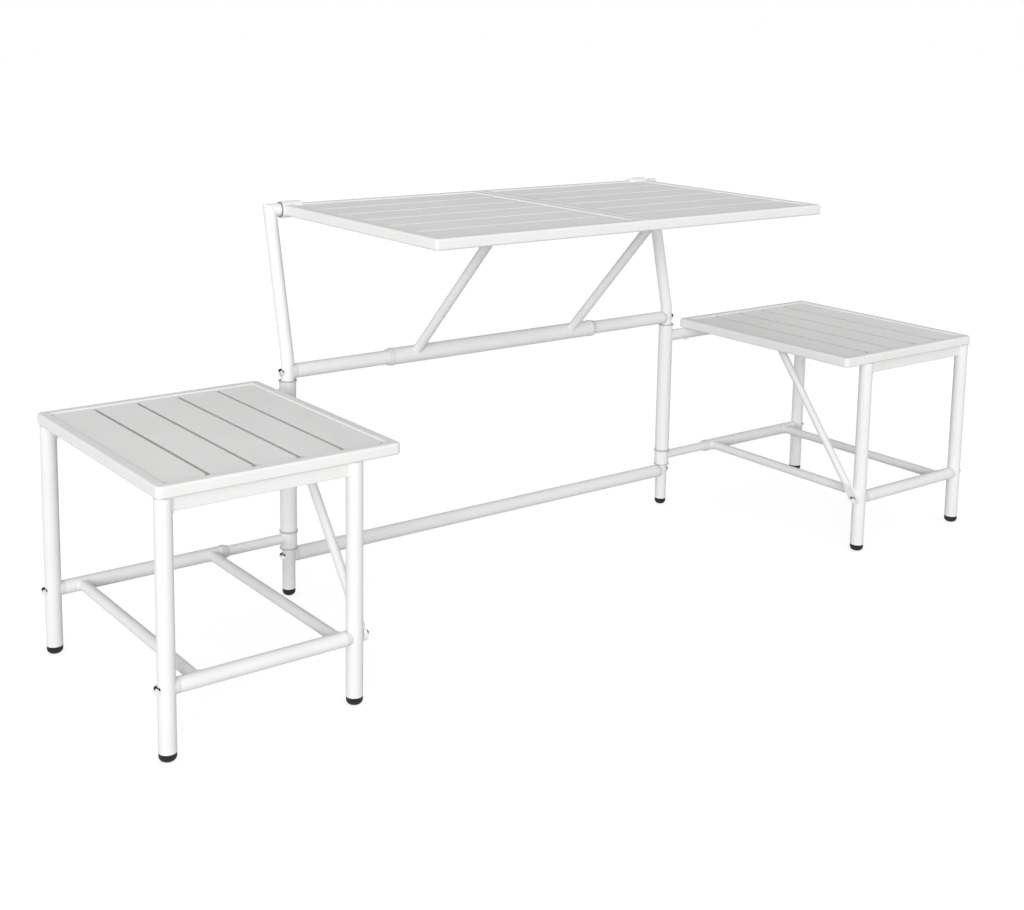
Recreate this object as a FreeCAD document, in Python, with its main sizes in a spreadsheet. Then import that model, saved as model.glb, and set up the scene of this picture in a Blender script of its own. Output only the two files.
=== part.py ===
import FreeCAD, Part
import math
import os
import re
import Sketcher

# Convertible picnic table bench: a rear frame of round tube that carries a hinged slatted
# table, a strut frame that props it, and two seats that swing on the rear legs.
# Origin: on the floor under the middle of the bench. X runs along the bench, +Y to the back,
# Z up. Lengths along Y are written from the line of the rear legs, and place() moves them by
# LEG_LINE. The left half is drawn and the right half is its mirror image. The rest position
# is the table position.

# Driving dimensions, in millimetres.
SIZES = {
    # Rear frame
    "leg_spacing": 975,  # between the axes of the two rear legs
    "rear_leg": 25,  # outer diameter of the rear legs
    "crossbar": 28,  # outer diameter of the two crossbars
    "tube_wall": 1.5,  # wall of every round tube
    "knee_height": 442,  # axis of the middle crossbar, where the rear legs tilt back
    "low_bar_height": 80,  # axis of the lower crossbar
    "bend_radius": 70,  # bend of the rear leg at the knee
    "hinge_height": 742,  # axis of the table hinge
    "hinge_setback": 66,  # table hinge behind the rear legs
    "pin_start_gap": 1,  # between the hinge pin and the mitre of the rear leg
    # Sleeves that turn, and their bushes
    "leg_sleeve": 32,  # outer diameter of the sleeves on the rear legs
    "strut_sleeve": 34,  # outer diameter of the sleeve on the middle crossbar
    "hinge_sleeve": 32,  # outer diameter of the table's hinge sleeves
    "running_gap": 0.3,  # radial clearance of a bush on what it turns on
    "fit_gap": 0.1,  # radial clearance of a bush, plug or pin that stays put
    "side_play": 0.3,  # end clearance between a flange and a fixed face
    "flange_thickness": 2,  # flange of a bush
    "flange_nose": 9,  # tapered nose in front of a flange that has room for one
    "nose_wall": 1.5,  # wall at the thin end of that nose
    "bush_depth": 18,  # how far a bush reaches into its sleeve
    "sleeve_top": 424,  # upper end of the long swivel sleeve
    "short_sleeve_base": 97,  # lower end of the short swivel sleeve
    "short_sleeve_length": 30,  # height of the short swivel sleeve
    "strut_sleeve_length": 512,  # length of the sleeve on the middle crossbar
    "hinge_sleeve_length": 42,  # length of a hinge sleeve
    "hinge_bush_depth": 36,  # length of the bush inside a hinge sleeve
    "end_wall": 2,  # closed end of a hinge sleeve or stub
    # Table
    "table_side_gap": 22,  # side of the table inside the rear leg axis
    "table_reach": 462,  # front edge of the table in front of the rear legs
    "rail": 20,  # height and width of the square rails
    "rail_wall": 1.5,  # wall of the square rails
    "rail_round": 4,  # rounding of the rail's long edges
    "table_corner": 5,  # rounding of the table's front corners, seen from above
    "centre_gap": 1,  # between the two halves of the table
    "table_slats": 6,  # number of slats in each half of the table
    "table_slat_gap": 10,  # gap between table slats
    "slat_depth": 12,  # height of a folded slat
    "slat_sheet": 1.2,  # sheet thickness of a slat
    "slat_round": 1.5,  # outer radius of a slat's folds
    "slat_corner": 9,  # corner clipped off the end of a slat
    "slat_recess": 2,  # slat top below the rail top
    "support_width": 28,  # width of the bar under the slats
    "joint_bolt": 6,  # shank of the bolts that join the halves
    "joint_head": 10,  # head and nut of those bolts
    # Strut frame
    "strut_spacing": 400,  # between the two struts
    "strut": 19,  # outer diameter of a strut
    "strut_reach": 269,  # catch pin in front of the crossbar
    "strut_past_pin": 12,  # strut end beyond the catch pin, before its flat cut
    "strut_cut": 1.5,  # flat cut of the strut above the pin axis
    "catch_pin": 10,  # diameter of the catch pin
    "catch_pin_length": 29,  # length of the catch pin
    "catch_clearance": 0.5,  # catch pin under its ledge
    "catch_plate": 3,  # sheet of the catch
    "catch_cheek": 4,  # thickness of a catch cheek
    "catch_inside": 30,  # between the two cheeks of a catch
    "catch_depth": 14,  # cheek below the ledge
    "catch_back": 9,  # catch behind the pin
    "catch_front": 31,  # catch in front of the pin
    "catch_run": 13,  # pin axis to the tooth in front of it
    "catch_lip": 2.5,  # depth of the tooth
    "catch_tooth": 4,  # length of the tooth
    # Seats
    "seat_gap": 56,  # inner edge of the seat outside the rear leg axis
    "seat_width": 420,  # seat across its slats
    "seat_depth": 500,  # seat along its slats
    "seat_overhang": 17,  # back edge of the seat behind the rear leg axis
    "seat_height": 430,  # top of the seat
    "seat_slats": 5,  # number of slats in a seat
    "seat_slat_gap": 6,  # gap between seat slats
    "seat_corner": 10,  # rounding of the seat's corners, seen from above
    "seat_leg": 28,  # outer diameter of the seat's own legs
    "leg_inset": 15,  # leg axis inside the seat's edge
    "inner_leg_inset": 80,  # inner front leg inside the seat's inner edge
    "upper_arm": 25,  # outer diameter of the upper arm
    "arm_bolt": 6,  # shank of the bolt that holds the seat's rail to the upper arm
    "arm_bolt_head": 14,  # diameter of its domed head
    "arm_bolt_dome": 5,  # height of that head
    "arm_bolt_reach": 6,  # end of that bolt above the rail's lower wall
    "base_height": 115,  # axis of the lower frame of a seat
    "base_tube": 25,  # outer diameter of the front and back bars
    "side_tube": 19,  # outer diameter of side bars and lower arm
    "collar_place": 144,  # inner end of the back bar from the rear leg axis
    "arm_overlap": 30,  # lower arm inside the back bar
    "inner_bar_place": 163,  # inner side bar from the rear leg axis
    "outer_bar_inset": 51,  # outer side bar inside the outer legs
    "plug_flange": 5,  # visible flange between a bar and its leg
    "plug_depth": 22,  # plug inside its tube
    "saddle": 5,  # how far a flange wraps round its leg
    "apron_height": 22,  # height of the front apron tube
    "apron_thickness": 12,  # thickness of the front apron tube
    "apron_drop": 1,  # apron below the seat frame
    "apron_round": 2,  # rounding of the apron's long edges
    "support_place": 233,  # cross strap of a seat in front of the rear leg axis
    "strap_width": 30,  # width of that strap
    "strap_thickness": 4,  # thickness of that strap
    "brace_tube": 16,  # outer diameter of the brace
    "brace_lug": 5,  # thickness of the brace's flattened end
    "brace_lug_width": 22,  # width of the flattened end
    "brace_lug_length": 42,  # from the bolt to the round part of the brace
    "drain_hole": 5,  # hole under a rail that lets water out
    # Bolts and feet
    "bolt_shank": 8,  # shank of the frame bolts
    "bolt_grip": 18,  # bolt inside the plug
    "bolt_hole_gap": 0.2,  # radial clearance of a bolt hole
    "bolt_head": 15,  # diameter of the domed bolt head
    "bolt_dome": 7,  # height of the domed bolt head
    "bolt_round": 5.5,  # rounding of the bolt head
    "foot_height": 14,  # visible height of a foot plug
    "foot_round": 8.5,  # rounding of the foot plug
    "foot_stem": 20,  # stem of a foot plug inside its tube
}

doc = FreeCAD.newDocument("picnic_bench")
sizes = doc.addObject("Spreadsheet::Sheet", "Sizes")
for row, (alias, number) in enumerate(SIZES.items(), 1):
    sizes.set(f"A{row}", alias)
    sizes.set(f"B{row}", str(number))
    sizes.setAlias(f"B{row}", alias)
doc.recompute()

# Half of the leg spacing, the rear leg line behind the origin, and other places used often.
HALF = "(leg_spacing / 2)"
LEG_LINE = "(seat_depth - seat_overhang - hinge_setback - hinge_sleeve / 2) / 2"
TABLE_SIDE = f"({HALF} - table_side_gap)"
SEAT_IN = f"({HALF} + seat_gap)"
SEAT_OUT = f"({HALF} + seat_gap + seat_width)"
SEAT_FRONT = "(seat_depth - seat_overhang)"
SEAT_BASE = "(seat_height - rail)"
OUTER_LEG = f"({SEAT_OUT} - leg_inset)"
INNER_LEG = f"({SEAT_IN} + inner_leg_inset)"
FRONT_LEG = f"({SEAT_FRONT} - leg_inset)"


def sized(text):
    """An expression in plain aliases, with the sheet's name put before each of them."""
    return re.sub(
        r"[a-z_]+",
        lambda word: "Sizes." + word.group(0) if word.group(0) in SIZES else word.group(0),
        str(text),
    )


def bind(thing, prop, text):
    thing.setExpression(prop, sized(text))


def place(thing, x=0, y=0, z=0, axis="z"):
    """Puts a thing at a point given by expressions, with its length along an axis."""
    turns = {
        "z": FreeCAD.Rotation(),
        "x": FreeCAD.Rotation(FreeCAD.Vector(0, 1, 0), 90),
        "-x": FreeCAD.Rotation(FreeCAD.Vector(0, 1, 0), -90),
        "-y": FreeCAD.Rotation(FreeCAD.Vector(1, 0, 0), 90),
        "-z": FreeCAD.Rotation(FreeCAD.Vector(1, 0, 0), 180),
    }
    thing.Placement = FreeCAD.Placement(FreeCAD.Vector(0, 0, 0), turns[axis])
    bind(thing, "Placement.Base.x", x)
    bind(thing, "Placement.Base.y", f"{LEG_LINE} + ({y})")
    bind(thing, "Placement.Base.z", z)
    return thing


def rod(diameter, length, x=0, y=0, z=0, axis="z"):
    thing = doc.addObject("Part::Cylinder", "rod")
    bind(thing, "Radius", f"({diameter}) / 2")
    bind(thing, "Height", length)
    return place(thing, x, y, z, axis)


def block(long_x, long_y, long_z, x, y, z):
    thing = doc.addObject("Part::Box", "block")
    for prop, text in (("Length", long_x), ("Width", long_y), ("Height", long_z)):
        bind(thing, prop, text)
    return place(thing, x, y, z)


def cut(base, *tools):
    for tool in tools:
        thing = doc.addObject("Part::Cut", "cut")
        thing.Base = base
        thing.Tool = tool
        base = thing
    return base


def common(base, tool):
    thing = doc.addObject("Part::Common", "common")
    thing.Base = base
    thing.Tool = tool
    return thing


def fuse(*things):
    thing = doc.addObject("Part::MultiFuse", "fuse")
    thing.Shapes = list(things)
    return thing


def group(*things):
    thing = doc.addObject("Part::Compound", "group")
    thing.Links = list(things)
    return thing


def new_body(name):
    return doc.addObject("PartDesign::Body", name)


def new_sketch(body, plane, name):
    sketch = body.newObject("Sketcher::SketchObject", name)
    base = next(f for f in body.Origin.OriginFeatures if f.Role == plane)
    sketch.AttachmentSupport = (base, "")
    sketch.MapMode = "FlatFace"
    return sketch


def outline(sketch, corners):
    """A closed outline of straight sides. Each corner is a pair of bound distances."""
    count = len(corners)
    first = len(sketch.Geometry)
    for k in range(count):
        ends = [
            FreeCAD.Vector(9 * math.cos(6.2832 * n / count), 9 * math.sin(6.2832 * n / count), 0)
            for n in (k, k + 1)
        ]
        sketch.addGeometry(Part.LineSegment(*ends))
    for k in range(count):
        after = first + (k + 1) % count
        sketch.addConstraint(Sketcher.Constraint("Coincident", first + k, 2, after, 1))
    for k, corner in enumerate(corners):
        for kind, text in zip(("DistanceX", "DistanceY"), corner):
            index = sketch.addConstraint(Sketcher.Constraint(kind, -1, 1, first + k, 1, 1.0))
            name = f"{kind}_{first + k}"
            sketch.renameConstraint(index, name)
            bind(sketch, "Constraints." + name, text)


def box_corners(x0, x1, y0, y1):
    return [(x0, y0), (x1, y0), (x1, y1), (x0, y1)]


def pad(body, sketch, length, midplane=False):
    feature = body.newObject("PartDesign::Pad", body.Name + "_pad")
    feature.Profile = sketch
    bind(feature, "Length", length)
    feature.Midplane = midplane
    body.Tip = feature
    doc.recompute()
    return feature


def fillet(body, radius, wanted):
    """Rounds the edges of a body that a test on the edge picks out."""
    names = [
        f"Edge{n + 1}" for n, edge in enumerate(body.Tip.Shape.Edges) if wanted(edge)
    ]
    base = body.Tip
    feature = body.newObject("PartDesign::Fillet", body.Name + "_fillet")
    feature.Base = (base, names)
    bind(feature, "Radius", radius)
    body.Tip = feature
    doc.recompute()


def tube(outer, length, x=0, y=0, z=0, axis="z", wall="tube_wall"):
    """A straight round tube: two circles, padded along an axis."""
    body = new_body("tube")
    sketch = new_sketch(body, "XY_Plane", "tube_ring")
    for name, text in (("outer", outer), ("inner", f"{outer} - 2 * {wall}")):
        circle = Part.Circle(FreeCAD.Vector(), FreeCAD.Vector(0, 0, 1), 10)
        index = sketch.addGeometry(circle)
        sketch.addConstraint(Sketcher.Constraint("Coincident", index, 3, -1, 1))
        diameter = sketch.addConstraint(Sketcher.Constraint("Diameter", index, 20))
        sketch.renameConstraint(diameter, name)
        bind(sketch, "Constraints." + name, text)
    pad(body, sketch, length)
    return place(body, x, y, z, axis)


def prism(plane, corners, length, x=0, y=0, z=0, midplane=False):
    """A straight-sided profile, padded. Its corners are measured from x, y, z."""
    body = new_body("prism")
    sketch = new_sketch(body, plane, "prism_outline")
    outline(sketch, corners)
    pad(body, sketch, length, midplane)
    return place(body, x, y, z)


def turned(corners, x=0, y=0, z=0, axis="z", rounding=None, end="top"):
    """A profile of (radius, height) corners turned round, with one end rounded if asked."""
    body = new_body("turned")
    sketch = new_sketch(body, "XZ_Plane", "turned_profile")
    outline(sketch, corners)
    feature = body.newObject("PartDesign::Revolution", "turned_solid")
    feature.Profile = sketch
    feature.ReferenceAxis = (sketch, ["V_Axis"])
    body.Tip = feature
    doc.recompute()
    if rounding:
        rims = [e for e in feature.Shape.Edges if e.Curve.TypeId == "Part::GeomCircle"]
        widest = max(e.Curve.Radius for e in rims)
        levels = [e.Curve.Center.z for e in rims if e.Curve.Radius > widest - 0.01]
        level = max(levels) if end == "top" else min(levels)
        fillet(
            body,
            rounding,
            lambda e: e.Curve.TypeId == "Part::GeomCircle"
            and e.Curve.Radius > widest - 0.01
            and abs(e.Curve.Center.z - level) < 0.01,
        )
    return place(body, x, y, z, axis)


def mirrored(thing):
    """The right-hand piece: the left-hand one reflected in the middle plane."""
    twin = doc.addObject("Part::Mirroring", "mirrored")
    twin.Source = thing
    twin.Normal = FreeCAD.Vector(1, 0, 0)
    return twin


def both(*things):
    """Left and right pieces of one kind, as separate solids of one group."""
    return group(*things, *[mirrored(thing) for thing in things])


NODES = []


def node(name, thing):
    """Marks a finished sub-part: its label is the node's and the file's name."""
    thing.Label = name
    NODES.append(thing)
    return thing


def leg_rod(diameter, x, y=0):
    """The space that an upright leg takes, used to shape what meets it."""
    return rod(diameter, "hinge_height", x, y, 0)


def bush(inner, outer, flange, depth, x, y, z, axis, nose="0"):
    """A flanged bush. Its flange starts at the given point and it reaches along the axis."""
    bore = f"({inner}) / 2 + running_gap"
    body = f"({outer}) / 2 - tube_wall - fit_gap"
    deep = f"flange_thickness + {depth}"
    corners = [(bore, f"-{nose}")]
    if nose != "0":
        corners.append((f"{bore} + nose_wall", f"-{nose}"))
    corners += [
        (f"({flange}) / 2", "0"),
        (f"({flange}) / 2", "flange_thickness"),
        (body, "flange_thickness"),
        (body, deep),
        (bore, deep),
    ]
    return turned(corners, x, y, z, axis)


def end_plug(outer, leg_x, leg_y, z, axis, leg_diameter):
    """The threaded plug in the end of a bar, with a flange shaped to the leg it meets."""
    face = f"({leg_diameter}) / 2 + plug_flange"
    corners = [
        ("bolt_shank / 2 + bolt_hole_gap", f"({leg_diameter}) / 2 - saddle"),
        (f"({outer}) / 2", f"({leg_diameter}) / 2 - saddle"),
        (f"({outer}) / 2", face),
        (f"({outer}) / 2 - tube_wall - fit_gap", face),
        (f"({outer}) / 2 - tube_wall - fit_gap", f"{face} + plug_depth"),
        ("bolt_shank / 2 + bolt_hole_gap", f"{face} + plug_depth"),
    ]
    plug = turned(corners, leg_x, leg_y, z, axis)
    return cut(plug, leg_rod(leg_diameter, leg_x, leg_y))


def bolt(leg_x, leg_y, z, axis, leg_diameter, under_head="0"):
    """A dome-headed bolt across a leg. The axis points from the head into the bar."""
    back = {"x": "-x", "-x": "x"}[axis]
    seat = f"({leg_diameter}) / 2 + {under_head}"
    head = turned(
        [
            ("0", f"{seat} - 1.5"),
            ("bolt_head / 2", f"{seat} - 1.5"),
            ("bolt_head / 2", f"{seat} + bolt_dome"),
            ("0", f"{seat} + bolt_dome"),
        ],
        leg_x,
        leg_y,
        z,
        back,
        rounding="bolt_round",
    )
    if under_head == "0":
        head = cut(head, leg_rod(leg_diameter, leg_x, leg_y))
    else:
        head = cut(head, rod("2 * bolt_head", seat, leg_x, leg_y, z, back))
    sign = "-" if axis == "x" else "+"
    shank = rod(
        "bolt_shank",
        f"{seat} + 1 + ({leg_diameter}) / 2 + plug_flange + bolt_grip",
        f"{leg_x} {sign} ({seat} + 1)",
        leg_y,
        z,
        axis,
    )
    return fuse(head, shank)


def bolt_hole(x, y, z, length, axis="x"):
    return rod("bolt_shank + 2 * bolt_hole_gap", length, x, y, z, axis)


def foot_plug(tube_outer, x, y):
    corners = [
        ("0", "0"),
        (f"{tube_outer} / 2", "0"),
        (f"{tube_outer} / 2", "foot_height"),
        (f"{tube_outer} / 2 - tube_wall - fit_gap", "foot_height"),
        (f"{tube_outer} / 2 - tube_wall - fit_gap", "foot_height + foot_stem"),
        ("0", "foot_height + foot_stem"),
    ]
    return turned(corners, x, y, 0, rounding="foot_round", end="bottom")


def flat_frame(x0, x1, y0, y1, z, inner, height, corner, both_sides, rounding):
    """A flat ring with round outer corners and round long edges."""
    body = new_body("rails")
    sketch = new_sketch(body, "XY_Plane", "rails_outline")
    outline(sketch, box_corners(x0, x1, y0, y1))
    outline(sketch, inner)
    pad(body, sketch, height)
    box = body.Tip.Shape.BoundBox
    sides = (box.XMin, box.XMax) if both_sides else (box.XMin,)
    fillet(
        body,
        corner,
        lambda e: e.BoundBox.ZLength > 1
        and any(abs(e.BoundBox.XMin - x) < 0.01 for x in sides)
        and any(abs(e.BoundBox.YMin - y) < 0.01 for y in (box.YMin, box.YMax)),
    )
    fillet(body, rounding, lambda e: e.BoundBox.ZLength < 0.01)
    return place(body, 0, 0, z)


def slat(plane, width, length, x, y, z):
    """A slat folded from sheet: a channel open below, its folds rounded, its corners clipped."""
    half = f"({width}) / 2"
    corners = [
        (f"-{half}", "-slat_depth"),
        (f"-{half} + slat_sheet", "-slat_depth"),
        (f"-{half} + slat_sheet", "-slat_sheet"),
        (f"{half} - slat_sheet", "-slat_sheet"),
        (f"{half} - slat_sheet", "-slat_depth"),
        (half, "-slat_depth"),
        (half, "0"),
        (f"-{half}", "0"),
    ]
    body = prism(plane, corners, length, x, y, z)
    top = body.Tip.Shape.BoundBox.ZMax
    long_side = "YLength" if plane == "XZ_Plane" else "XLength"
    fillet(
        body,
        "slat_round",
        lambda e: abs(e.BoundBox.ZMin - top) < 0.01
        and abs(e.BoundBox.ZMax - top) < 0.01
        and getattr(e.BoundBox, long_side) > 50,
    )
    near = f"({half} - slat_corner)"
    far = f"({length} - slat_corner)"
    clipped = [
        ("slat_corner", f"-{half}"),
        (far, f"-{half}"),
        (length, f"-{near}"),
        (length, near),
        (far, half),
        ("slat_corner", half),
        ("0", near),
        ("0", f"-{near}"),
    ]
    if plane == "XZ_Plane":
        clipped = [(across, f"-({along})") for along, across in clipped]
    blank = prism("XY_Plane", clipped, "slat_depth + 2", x, y, f"{z} - slat_depth - 1")
    return common(body, blank)


# Rear frame: two rear legs that tilt back above the knee, joined by two crossbars.

LEAN_RISE = "(hinge_height - knee_height - crossbar / 2)"
LEAN_RUN = "(hinge_setback - bend_radius)"
LEAN = f"(atan({LEAN_RUN} / {LEAN_RISE}) + asin(bend_radius / sqrt({LEAN_RISE} ^ 2 + {LEAN_RUN} ^ 2)))"
FAR = "(2 * rear_leg)"


def beyond_mitre(past_leg, x=f"-{HALF}"):
    """The space on one side of the mitre that joins a rear leg to its stub."""
    corner = (FAR, FAR) if past_leg else (f"-{FAR}", f"-{FAR}")
    wedge = prism(
        "XZ_Plane",
        [(f"-{FAR}", FAR), (FAR, f"-{FAR}"), corner],
        f"2 * {FAR}",
        x,
        "hinge_setback",
        "hinge_height",
        True,
    )
    wedge.Placement.Rotation = FreeCAD.Rotation(FreeCAD.Vector(1, 0, 0), -10)
    bind(wedge, "Placement.Rotation.Axis.x", "1")
    bind(wedge, "Placement.Rotation.Angle", f"-{LEAN}")
    return wedge


def upright():
    """A rear leg: a round tube swept along a line, a bend and a tilted line."""
    body = new_body("upright")
    path = new_sketch(body, "YZ_Plane", "upright_path")
    point = FreeCAD.Vector
    up = point(0, 0, 1)
    radius = SIZES["bend_radius"]
    knee = SIZES["knee_height"] + SIZES["crossbar"] / 2
    hinge = point(SIZES["hinge_setback"], SIZES["hinge_height"], 0)
    circle = Part.Circle(point(radius, knee, 0), up, radius)
    lower = path.addGeometry(
        Part.LineSegment(point(0, SIZES["foot_height"], 0), point(0, knee, 0))
    )
    bend = path.addGeometry(Part.ArcOfCircle(circle, math.radians(167.5), math.radians(180)))
    upper = path.addGeometry(
        Part.LineSegment(path.getPoint(bend, 1), hinge + point(0, SIZES["rear_leg"], 0))
    )
    hinge_mark = path.addGeometry(Part.Point(hinge), True)
    link = Sketcher.Constraint
    path.addConstraint(link("Tangent", lower, 2, bend, 2))
    path.addConstraint(link("Tangent", bend, 1, upper, 1))
    path.addConstraint(link("Vertical", lower))
    path.addConstraint(link("PointOnObject", lower, 1, -2))
    path.addConstraint(link("PointOnObject", hinge_mark, 1, upper))
    places = [
        ("DistanceY", lower, 1, "foot_height"),
        ("DistanceY", lower, 2, "knee_height + crossbar / 2"),
        ("DistanceY", upper, 2, "hinge_height + rear_leg"),
        ("DistanceX", hinge_mark, 1, "hinge_setback"),
        ("DistanceY", hinge_mark, 1, "hinge_height"),
    ]
    for n, (kind, line, end, text) in enumerate(places):
        start = path.getPoint(line, end)[kind == "DistanceY"]
        index = path.addConstraint(link(kind, -1, 1, line, end, start))
        path.renameConstraint(index, f"place_{n}")
        bind(path, f"Constraints.place_{n}", text)
    index = path.addConstraint(link("Radius", bend, radius))
    path.renameConstraint(index, "bend")
    bind(path, "Constraints.bend", "bend_radius")
    ring = new_sketch(body, "XY_Plane", "upright_ring")
    ring.setExpression(".AttachmentOffset.Base.z", sized("foot_height"))
    for name, text in (("outer", "rear_leg"), ("inner", "rear_leg - 2 * tube_wall")):
        edge = ring.addGeometry(Part.Circle(point(), up, 10))
        ring.addConstraint(link("Coincident", edge, 3, -1, 1))
        diameter = ring.addConstraint(link("Diameter", edge, 20))
        ring.renameConstraint(diameter, name)
        bind(ring, "Constraints." + name, text)
    doc.recompute()
    sweep = body.newObject("PartDesign::AdditivePipe", "upright_sweep")
    sweep.Profile = ring
    sweep.Spine = (path, ["Edge1", "Edge2", "Edge3"])
    body.Tip = sweep
    doc.recompute()
    place(body, f"-{HALF}", 0, 0)
    holes = [
        bolt_hole(f"-{HALF} - rear_leg", 0, height, "2 * rear_leg")
        for height in ("knee_height", "low_bar_height")
    ]
    return cut(body, beyond_mitre(True), *holes)


left_upright = node("left_upright", upright())
node("right_upright", mirrored(left_upright))

# The stub on each rear leg is mitred to it and holds the hinge pin.
stub_start = f"(-{HALF} - rear_leg)"
stub_end = f"(-{TABLE_SIDE} - flange_thickness - side_play)"
stub = cut(
    rod("rear_leg", f"{stub_end} - {stub_start}", stub_start, "hinge_setback", "hinge_height", "x"),
    rod(
        "rear_leg - 2 * tube_wall",
        f"{stub_end} - {stub_start} + 1",
        stub_start,
        "hinge_setback",
        "hinge_height",
        "x",
    ),
    beyond_mitre(False),
)
node("hinge_stubs", both(stub))
pin_size = "(rear_leg - 2 * tube_wall - 2 * fit_gap)"
pin_end = f"(-{TABLE_SIDE} + hinge_bush_depth + 1)"
pin = cut(
    rod(pin_size, f"{pin_end} - {stub_start}", stub_start, "hinge_setback", "hinge_height", "x"),
    beyond_mitre(False, f"-{HALF} + pin_start_gap"),
)
node("hinge_pins", both(pin))


def crossbar(height):
    """A bar between the rear legs. Plugs in its ends meet the legs."""
    reach = f"({HALF} - rear_leg / 2 - plug_flange)"
    return tube("crossbar", f"2 * {reach}", f"-{reach}", 0, height, "x")


node("mid_crossbar", crossbar("knee_height"))
node("lower_crossbar", crossbar("low_bar_height"))
bar_heights = ("knee_height", "low_bar_height")
node(
    "crossbar_end_plugs",
    both(*[end_plug("crossbar", f"-{HALF}", 0, z, "x", "rear_leg") for z in bar_heights]),
)
node("crossbar_bolts", both(*[bolt(f"-{HALF}", 0, z, "x", "rear_leg") for z in bar_heights]))
node("rear_foot_plugs", both(foot_plug("rear_leg", f"-{HALF}", 0)))

# Table: two welded half frames with slats, joined in the middle, on two hinge sleeves.
table_base = "(hinge_height - rail / 2)"
table_top = "(hinge_height + rail / 2)"
inner_side = f"({TABLE_SIDE} - rail)"
middle_side = "(centre_gap / 2 + rail)"
rear_edge = "(hinge_setback + rail / 2)"
sleeve_space = rod(
    "hinge_sleeve",
    "hinge_sleeve_length",
    f"-{TABLE_SIDE}",
    "hinge_setback",
    "hinge_height",
    "x",
)


def table_rails(wall):
    """The rails of the left half, or the space inside them when a wall is given."""
    return flat_frame(
        f"-{TABLE_SIDE} + {wall}",
        f"-centre_gap / 2 - {wall}",
        f"-table_reach + {wall}",
        f"{rear_edge} - {wall}",
        f"{table_base} + {wall}",
        box_corners(
            f"-{inner_side} - {wall}",
            f"-{middle_side} + {wall}",
            f"-table_reach + rail - {wall}",
            f"{rear_edge} - rail + {wall}",
        ),
        f"rail - 2 * {wall}",
        f"table_corner - {wall}",
        False,
        f"rail_round - {wall}",
    )


slat_room = f"(table_reach - rail + {rear_edge} - rail)"
slat_pitch = f"(({slat_room} + table_slat_gap) / table_slats)"
slat_width = f"({slat_pitch} - table_slat_gap)"
slat_count = int(sizes.table_slats)


def slat_middle(number):
    return f"(-table_reach + rail + {slat_width} / 2 + {number} * {slat_pitch})"


joint_places = [slat_middle(n) for n in (0, slat_count // 2, slat_count - 1)]
joint_height = "(hinge_height - 1)"
joint_holes = [
    rod("joint_bolt + 2 * bolt_hole_gap", "2 * rail", f"-{middle_side} - 5", y, joint_height, "x")
    for y in joint_places
]
half_frame = cut(
    table_rails("0"), table_rails("rail_wall"), sleeve_space, *joint_holes
)
node("table_left_frame", half_frame)
node("table_right_frame", mirrored(half_frame))
slats = [
    slat(
        "YZ_Plane",
        slat_width,
        f"{inner_side} - {middle_side}",
        f"-{inner_side}",
        slat_middle(n),
        f"{table_top} - slat_recess",
    )
    for n in range(slat_count)
]
slats[-1] = cut(slats[-1], sleeve_space)
left_slats = node("table_left_slats", group(*slats))
node("table_right_slats", mirrored(left_slats))

# The hinge sleeves take the place of the table's rear corners. Each holds a long bush.
hinge_place = (f"-{TABLE_SIDE}", "hinge_setback", "hinge_height")
hinge_tube = cut(
    rod("hinge_sleeve", "hinge_sleeve_length", *hinge_place, "x"),
    rod("hinge_sleeve - 2 * tube_wall", "hinge_sleeve_length - end_wall", *hinge_place, "x"),
)
node("table_hinge_sleeves", both(hinge_tube))
hinge_bush = bush(
    pin_size,
    "hinge_sleeve",
    "hinge_sleeve - 2",
    "hinge_bush_depth",
    f"-{TABLE_SIDE} - flange_thickness",
    "hinge_setback",
    "hinge_height",
    "x",
)
node("table_hinge_bushes", both(hinge_bush))


def joint_bolt(y):
    """A short bolt with a round head and a nut, through both middle rails."""
    across = f"{middle_side} * 2"
    shank = rod("joint_bolt", f"{across} + 4", f"-{middle_side} - 2", y, joint_height, "x")
    head = rod("joint_head", "4", f"-{middle_side} - 4", y, joint_height, "x")
    nut = rod("joint_head", "5", middle_side, y, joint_height, "x")
    return fuse(shank, head, nut)


node("table_joining_bolts", group(*[joint_bolt(y) for y in joint_places]))

# Under each half a bar crosses below the slats and carries the catch for one strut.
catch_y = "(-strut_reach)"
catch_ledge = f"({table_base} - catch_plate)"
support_front = f"({catch_y} - catch_front - 2)"
strut_x = "(-strut_spacing / 2)"
cheek_out = "(catch_inside / 2 + catch_cheek)"
support = block(
    f"{inner_side} - {middle_side}",
    "support_width",
    "rail - slat_recess - slat_depth",
    f"-{inner_side}",
    support_front,
    table_base,
)
catch_length = "(catch_front + catch_back)"
catch_start = f"({catch_y} - catch_front)"
ledge = block(
    f"2 * {cheek_out}",
    catch_length,
    "catch_plate",
    f"{strut_x} - {cheek_out}",
    catch_start,
    catch_ledge,
)
cheeks = [
    block(
        "catch_cheek",
        catch_length,
        "catch_depth",
        f"{strut_x} + {offset}",
        catch_start,
        f"{catch_ledge} - catch_depth",
    )
    for offset in (f"-{cheek_out}", "catch_inside / 2")
]
tooth = block(
    "catch_inside",
    "catch_tooth",
    "catch_lip",
    f"{strut_x} - catch_inside / 2",
    f"{catch_y} - catch_run - catch_tooth",
    f"{catch_ledge} - catch_lip",
)
node("table_supports", both(fuse(support, ledge, *cheeks, tooth)))

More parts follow.
